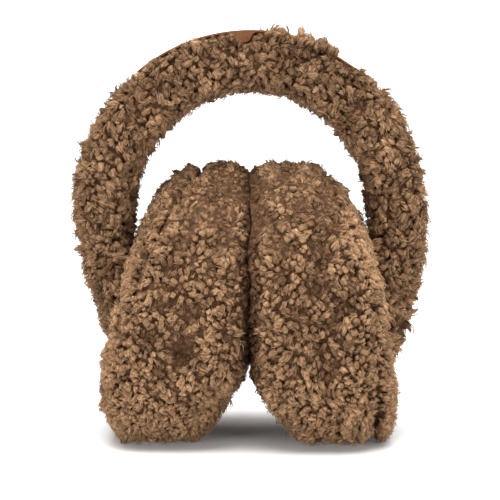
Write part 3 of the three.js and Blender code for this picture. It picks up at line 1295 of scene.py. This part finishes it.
    def bed(self, rng: np.random.Generator) -> tuple[Bed, Bed]:
        """Locks in rings round the disc, at even steps along its section.

        Args:
            rng: the source of all chance.

        Returns:
            The ear pad's bed and the outer panel's.
        """
        fine = np.linspace(0, 1, 2001)
        share_fine = eased(fine)
        radial_fine = bulge(2 * share_fine - 1, self.plumpness)
        radius = (self.radius_y + self.radius_z) / 2
        steps = np.hypot(np.diff(share_fine) * self.thickness, np.diff(radial_fine) * radius)
        run = np.concatenate([[0], np.cumsum(steps)])
        rings = int(run[-1] / self.row_spacing)
        middle = (np.arange(rings) + 0.5) / rings * run[-1]
        counts = 2 * math.pi * radius * np.interp(middle, run, radial_fine) / self.row_spacing
        counts = np.maximum(np.round(counts), 3).astype(int)
        row, place, jitter = lattice(counts, rng)
        angle = (place + 0.5 * (row % 2) + jitter[0]) / counts[row] * 2 * math.pi
        step = np.interp((row + 0.5 + jitter[1]) / rings * run[-1], run, fine)

        def outside(angle: Array, step: Array) -> Array:
            """The wool's outer form at an angle and a step across it.

            Args:
                angle: round the disc.
                step: along its section, 0 at the middle of the ear side and 1 at the far side's.

            Returns:
                (..., 3) places on the side of +X.
            """
            share = eased(np.clip(step, 1e-4, 1 - 1e-4))
            pinch = self.seam_pinch * self.bare_seam(angle)
            return self.form(angle, self.radial_at(share, self.seam(angle), pinch), share, 0.0)

        hub = np.array([(self.inner_x + self.outer_x) / 2, self.centre[0], self.centre[1]])
        here, normals = outer_form(outside, angle, step, hub)
        share, height = eased(step), here[:, 2]
        from_seam = (share - self.seam(angle)) * self.thickness
        bare = self.bare_seam(angle)
        radial = self.radial_at(share, self.seam(angle), self.seam_pinch * bare)
        cut_off = self.uncut_x(angle, radial, share) < -3.0
        cut_off |= self.centre[1] + self.radius_z * radial * np.cos(angle) < -1.5
        off_floor = smooth_step(height, 0.0, 6.0)
        off_twin = smooth_step(here[:, 0], 0.5, 4.0)
        places = self.mirrored(here)
        keep = ~cut_off & (np.abs(from_seam) > 0.9 * bare) & ~self.band.holds(places, 1.0)

        bed = self.nature.bed(here - self.root_depth * normals, normals, places, rng)
        bed.roots -= self.top_drop * smooth_step(height, 92, 120)[:, None] * normals
        bed.leans[:, 0] += np.sign(from_seam) * 1.6 * (np.abs(from_seam) < 4)
        # paler towards the foot as painted light, as of the white floor below, and darker towards the top
        bed.tones += 0.28 * (1 - smooth_step(height, 10, 60)) - 0.16 * smooth_step(height, 85, 110)
        # darker where the muff presses on its twin: painted shade in the crease
        bed.tones -= 0.8 * (1 - off_twin)
        bed.sizes *= (0.8 + 0.2 * off_floor) * (0.8 + 0.2 * off_twin)
        bed.sizes *= 1 - 0.35 * bare * (1 - smooth_step(np.abs(from_seam), 0.6, 3.0))
        bed.pressed = 0.45 * smooth_step(height, 84, 112)
        bed.sizes *= 1 + 0.3 * bed.pressed
        for touch in self.touches:
            touch.change(bed, self.mirrored(bed.roots))
        bed.sizes = np.clip(bed.sizes, 0.3, 1.35)
        on_pad = from_seam < 0
        return bed.kept(keep & on_pad), bed.kept(keep & ~on_pad)

    def settle(self, grown: tuple[Array, Array, Array]) -> tuple[Array, Array, Array]:
        """Brings locks to the muff's side, and stops them at the floor and the middle plane.

        Args:
            grown: the fleece's points, triangles and map, on the side of +X.

        Returns:
            The same on the muff's own side.
        """
        points, faces, uv = grown
        points[:, 0] = np.maximum(points[:, 0], self.crease(points) + 0.02)
        points[:, 2] = np.maximum(points[:, 2], 0.0)
        if self.side is Side.LEFT:
            faces = faces[:, ::-1]
        return self.mirrored(points), faces, uv

    def build(self, pelt: bpy.types.Material, wool: bpy.types.Material) -> None:
        """Makes the pad's and the panel's pelt, and grows their locks.

        Args:
            pelt: the pelts' material.
            wool: the locks' material.
        """
        rng = np.random.default_rng(100 + self.side.value)
        word = self.side.word
        pad_bed, panel_bed = self.bed(rng)
        for node, outer, bed in (("ear_pad", False, pad_bed), ("outer_panel", True, panel_bed)):
            name = f"{word}_{node}"
            place_piece(f"{name}_pelt", self.pelt(outer), name, pelt)
            grown = self.settle(self.fleece.grow(bed, rng))
            place_piece(f"{name}_wool", grown, name, wool)


# ---- Studio -------------------------------------------------------------------------------


@dataclass(frozen=True)
class Studio:
    """A plain pale floor, a white surround, soft lamps and the camera."""

    distance: float = 1.0  # m from the camera to what it aims at
    elevation: float = math.radians(5.0)  # of the camera
    aim: tuple = (-0.0005, 0.0, 0.091)
    focal_length: float = 151.2  # mm
    sensor: float = 36.0  # mm
    sky: float = 2.0  # strength of the world
    ceiling: float = 3.2  # strength of the broad light from above
    ceiling_angle: float = math.radians(40)  # over which it is spread
    ceiling_place: tuple = (0.0, -0.34, 1.0)  # the way that it comes from
    lamp_width: float = 0.8  # m
    lamp_height: float = 0.14  # m
    floor_half: float = 60.0  # m, half of the floor's side

    # by the sine of the height over the horizon
    SKY = {0.0: "#ffffff", 0.07: "#ffffff", 0.13: "#444444", 0.6: "#444444", 0.82: "#ffffff"}
    FLOOR = "#f4f4f4"
    # place and watts
    LAMPS = {
        "front_left_softbox": ((-1.45, -1.2, 0.08), 18.9),
        "front_right_softbox": ((1.45, -1.15, 0.08), 15.9),
    }

    def build(self) -> None:
        """Makes the floor, the lights and the camera."""
        self.floor()
        self.surround()
        self.skylight()
        for name, (place, power) in self.LAMPS.items():
            self.lamp(name, place, power)
        self.camera()
        bpy.context.scene.view_settings.view_transform = "Standard"

    def floor(self) -> None:
        """A wide matt white sheet at the height that the muffs stand on."""
        half = self.floor_half
        corners = np.array([[-half, -half, 0], [half, -half, 0], [half, half, 0], [-half, half, 0]]) / MM
        sheet = mesh_piece("floor", corners, np.array([[0, 1, 2], [0, 2, 3]]))
        graph = Graph(bpy.data.materials.new("matt_white_paper"))
        settings = {"Color": linear(self.FLOOR), "Roughness": 1.0}
        sheet.data.materials.append(graph.close("BsdfDiffuse", settings, {}))

    def surround(self) -> None:
        """A world that is white round the horizon and overhead, and dim between the two."""
        graph = Graph(bpy.data.worlds.new("white_surround"))
        place = graph.add("TexCoord", {}, {})
        height = graph.add("SeparateXYZ", {}, {"Vector": place.outputs["Generated"]})
        colour = graph.add("ValToRGB", {"stops": self.SKY}, {"Fac": height.outputs["Z"]}).outputs[0]
        world = graph.close("Background", {"Strength": self.sky}, {"Color": colour})
        bpy.context.scene.world = world

    def skylight(self) -> None:
        """A broad light from above, as of a large soft ceiling, that is even over the whole floor."""
        light = bpy.data.lights.new("ceiling", "SUN")
        light.angle = self.ceiling_angle
        light.energy = self.ceiling
        lamp = bpy.data.objects.new("ceiling", light)
        lamp.rotation_euler = self.facing(self.ceiling_place, (0.0, 0.0, 0.0))
        bpy.context.scene.collection.objects.link(lamp)

    def lamp(self, name: str, place: tuple, power: float) -> None:
        """A wide low soft lamp that faces the object.

        Args:
            name: its name.
            place: its middle, in metres.
            power: in watts.
        """
        light = bpy.data.lights.new(name, "AREA")
        light.shape = "RECTANGLE"
        light.size = self.lamp_width
        light.size_y = self.lamp_height
        light.energy = power
        lamp = bpy.data.objects.new(name, light)
        lamp.location = place
        lamp.rotation_euler = self.facing(place, self.aim)
        bpy.context.scene.collection.objects.link(lamp)

    def camera(self) -> None:
        """A long lens in front of the muffs, a little above their middle."""
        lens = bpy.data.cameras.new("camera")
        lens.sensor_width = self.sensor
        lens.lens = self.focal_length
        camera = bpy.data.objects.new("camera", lens)
        x, y, z = self.aim
        back = self.distance * math.cos(self.elevation)
        place = (x, y - back, z + self.distance * math.sin(self.elevation))
        camera.location = place
        camera.rotation_euler = self.facing(place, self.aim)
        bpy.context.scene.collection.objects.link(camera)
        bpy.context.scene.camera = camera

    @staticmethod
    def facing(place: tuple, target: tuple) -> tuple[float, float, float]:
        """The turn, as Euler angles, that points an object's -Z from a place to a target."""
        dx, dy, dz = (b - a for a, b in zip(place, target))
        return (math.pi / 2 + math.atan2(dz, math.hypot(dx, dy)), 0.0, math.atan2(-dx, dy))


# ---- Assembly -----------------------------------------------------------------------------


# Patches with a negative pale paint shade into partings, grooves and the left muff's hollow; the right muff's
# first patch darkens its middle broadly.
LEFT_TOUCHES = (
    Touch(-57, 80, 4.5, 27, turn=12, thin=-0.4, press=1, pale=0.8),
    Touch(-61, 62, 2.6, 14, turn=4, press=1, pale=0.35),
    Touch(-57.5, 63, 1.0, 12, turn=8, thin=0.6, pale=-0.4),
    Touch(-32, 50, 7.5, 8.5, thin=0.4, pale=-0.9),
    Touch(-22, 56, 3, 8, turn=-25, thin=-0.3, press=0.7, pale=0.8),
    Touch(-46, 57, 7, 2.0, turn=-5, thin=0.3, pale=-0.7),
    Touch(-31, 87, 4.6, 2.2, thin=0.3, pale=-0.7),
    Touch(-35, 78, 5.4, 2.0, turn=10, thin=0.3, pale=-0.7),
    Touch(-40, 71, 4.6, 1.9, thin=0.3, pale=-0.7),
    Touch(-28, 67, 5.6, 1.9, thin=0.3, pale=-0.8),
)
RIGHT_TOUCHES = (
    Touch(32, 72, 17, 24, pale=-0.2),
    Touch(46, 97, 5.5, 11, turn=-25, thin=-0.4, press=1, pale=0.9),
    Touch(56, 78, 3.5, 16, turn=-14, thin=-0.3, press=1, pale=0.5),
    Touch(39, 95, 1.4, 9, turn=-25, thin=0.3, pale=-0.8),
    Touch(20, 95, 2.6, 3.2, thin=0.3, pale=-0.8),
    Touch(33, 78, 5.2, 2.4, turn=25, thin=0.3, pale=-0.8),
    Touch(41, 70, 4.6, 2.4, turn=25, thin=0.3, pale=-0.8),
    Touch(22, 70, 3.6, 2.2, thin=0.3, pale=-0.7),
    Touch(31, 52, 5.0, 2.4, turn=15, thin=0.3, pale=-0.8),
    Touch(38, 46, 4.6, 2.4, turn=-20, thin=0.3, pale=-0.8),
    Touch(33, 40, 4.6, 2.2, turn=-20, thin=0.3, pale=-0.7),
    Touch(63, 44, 3.5, 14, press=0.9, pale=0.25),
    Touch(13, 40, 5, 9, press=0.6, pale=0.15),
)


def box_mm(node: str) -> tuple[Array, Array]:
    """A node's lowest and highest corner in millimetres."""
    low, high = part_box(node)
    return np.array(low) / MM, np.array(high) / MM


def main() -> None:
    """Builds the headband, its strip, both muffs and the studio."""
    logging.basicConfig(level=logging.INFO, format="%(message)s")
    wool = LockWool().material()
    pelt = PeltWool().material()
    leather = StripLeather().material()

    strip = CrownStrip(*box_mm("crown_strip"))
    strip.build(leather)

    slims = (
        Dent(83, 131, 28, 2.8),
        Dent(66, 165, 12, 1.2),
        Dent(-79, 147, 15, 1.6),
        Dent(-83, 100, 22, 0.8),
        Dent(80, 75, 20, -2.6),
        Dent(-74, 67, 14, 0.8),
    )
    band = Headband(*box_mm("headband"), slims=slims)
    band.build(strip, pelt, wool)

    shapes = {
        Side.LEFT: {
            "lean": math.radians(14.0),
            "seam_to_ear_at_top": 0.26,
            "seam_shows": (0.5, 0.1),
            "tucks": (Tuck(36, 8, -2.2, 0), Tuck(13, 13, 4.6, 0), Tuck(6, 11, 0, -4), Tuck(42, 14, 0, 1.2)),
            "dents": (Dent(31, 50, 9, 7.0),),
            "touches": LEFT_TOUCHES,
        },
        Side.RIGHT: {
            "lean": math.radians(12.6),
            "seam_to_ear_at_top": 0.1,
            "seam_shows": (0.3, 1.2),
            "tucks": (Tuck(34, 12, -4, 0), Tuck(9, 11, 3.2, -1), Tuck(36, 18, 0, -1.8)),
            "dents": (Dent(34, 60, 9, 2.5),),
            "touches": RIGHT_TOUCHES,
        },
    }
    for side, shape in shapes.items():
        Muff(side, *box_mm(f"{side.word}_ear_pad"), band, **shape).build(pelt, wool)
    Studio().build()


if __name__ == "__main__":
    main()
